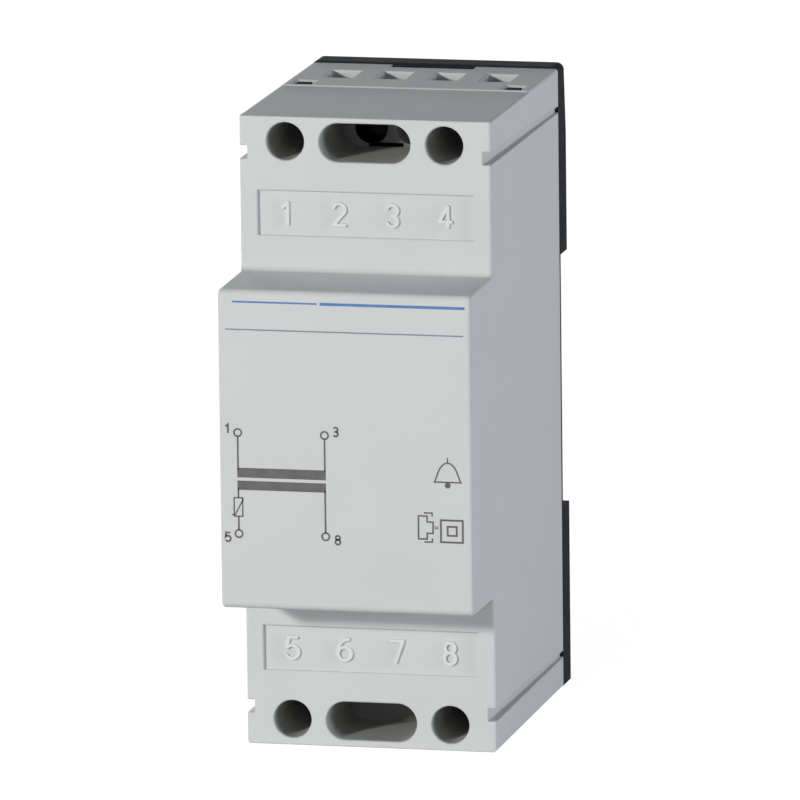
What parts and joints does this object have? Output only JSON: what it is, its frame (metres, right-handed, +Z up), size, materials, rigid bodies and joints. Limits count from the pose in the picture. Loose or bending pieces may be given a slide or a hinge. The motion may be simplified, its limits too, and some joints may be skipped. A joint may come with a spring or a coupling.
{
  "type": "doorbell transformer",
  "caption": "Small transformer that steps mains down for a doorbell: grey housing on a black base that clips to a mounting rail, with screw terminals at both ends.",
  "frame": {"origin": "centre of the width and of the whole depth, on the plane of the housing's lower end", "axes": "+X to the right seen from the front, -Y out of the front, +Y towards the rail, +Z up along the housing"},
  "size_m": [0.036, 0.063, 0.0903],
  "materials": {
    "housing": "fine matt moulding, light grey",
    "base": "satin black moulding",
    "spring_steel": "bright spring steel",
    "zinc_steel": "zinc plated",
    "brass": "bare brass",
    "core_steel": "varnished laminations",
    "bobbin": "natural nylon",
    "copper_winding": "enamelled copper wire",
    "lead_insulation": "black sleeved wire",
    "thermistor": "dipped resin"
  },
  "bodies": {
    "body": {"housing": "housing", "base": "base", "latch_spring": "spring_steel", "core_e_stack": "core_steel", "core_i_stack": "core_steel", "bobbin": "bobbin", "primary_winding": "copper_winding", "secondary_winding": "copper_winding", "lead_1": "lead_insulation", "lead_3": "lead_insulation", "lead_5": "lead_insulation", "lead_8": "lead_insulation", "thermistor_lead": "lead_insulation", "thermistor": "thermistor", "contact_bar_1": "brass", "contact_bar_3": "brass", "contact_bar_5": "brass", "contact_bar_8": "brass"},
    "latch": {"rail_latch": "base"},
    "screw_1": {"terminal_screw_1": "zinc_steel"},
    "cage_1": {"terminal_cage_1": "zinc_steel"},
    "screw_3": {"terminal_screw_3": "zinc_steel"},
    "cage_3": {"terminal_cage_3": "zinc_steel"},
    "screw_5": {"terminal_screw_5": "zinc_steel"},
    "cage_5": {"terminal_cage_5": "zinc_steel"},
    "screw_8": {"terminal_screw_8": "zinc_steel"},
    "cage_8": {"terminal_cage_8": "zinc_steel"}
  },
  "joints": [
    {"name": "latch_slide", "type": "slide", "parent": "body", "child": "latch", "axis": [0, 0, -1], "range_m": [0, 0.003], "stiffness_N_per_m": 800, "springref_m": -0.002, "deforming": ["latch_spring"]},
    {"name": "cage_1_slide", "type": "slide", "parent": "body", "child": "cage_1", "axis": [0, -1, 0], "range_m": [0, 0.0054]},
    {"name": "screw_1_turn", "type": "hinge", "parent": "body", "child": "screw_1", "pos_m": [-0.0114, 0.003, 0.0863], "axis": [0, 1, 0], "range_deg": [0, 3240.5]},
    {"name": "cage_3_slide", "type": "slide", "parent": "body", "child": "cage_3", "axis": [0, -1, 0], "range_m": [0, 0.0054]},
    {"name": "screw_3_turn", "type": "hinge", "parent": "body", "child": "screw_3", "pos_m": [0.0038, 0.003, 0.0863], "axis": [0, 1, 0], "range_deg": [0, 3240.5]},
    {"name": "cage_5_slide", "type": "slide", "parent": "body", "child": "cage_5", "axis": [0, -1, 0], "range_m": [0, 0.0054]},
    {"name": "screw_5_turn", "type": "hinge", "parent": "body", "child": "screw_5", "pos_m": [-0.0114, 0.003, 0.0037], "axis": [0, 1, 0], "range_deg": [0, 3240.5]},
    {"name": "cage_8_slide", "type": "slide", "parent": "body", "child": "cage_8", "axis": [0, -1, 0], "range_m": [0, 0.0054]},
    {"name": "screw_8_turn", "type": "hinge", "parent": "body", "child": "screw_8", "pos_m": [0.0114, 0.003, 0.0037], "axis": [0, 1, 0], "range_deg": [0, 3240.5]}
  ],
  "couplings": [
    {"joint": "screw_1_turn", "follows": "cage_1_slide", "rad_per_m": 10472},
    {"joint": "screw_3_turn", "follows": "cage_3_slide", "rad_per_m": 10472},
    {"joint": "screw_5_turn", "follows": "cage_5_slide", "rad_per_m": 10472},
    {"joint": "screw_8_turn", "follows": "cage_8_slide", "rad_per_m": 10472}
  ]
}
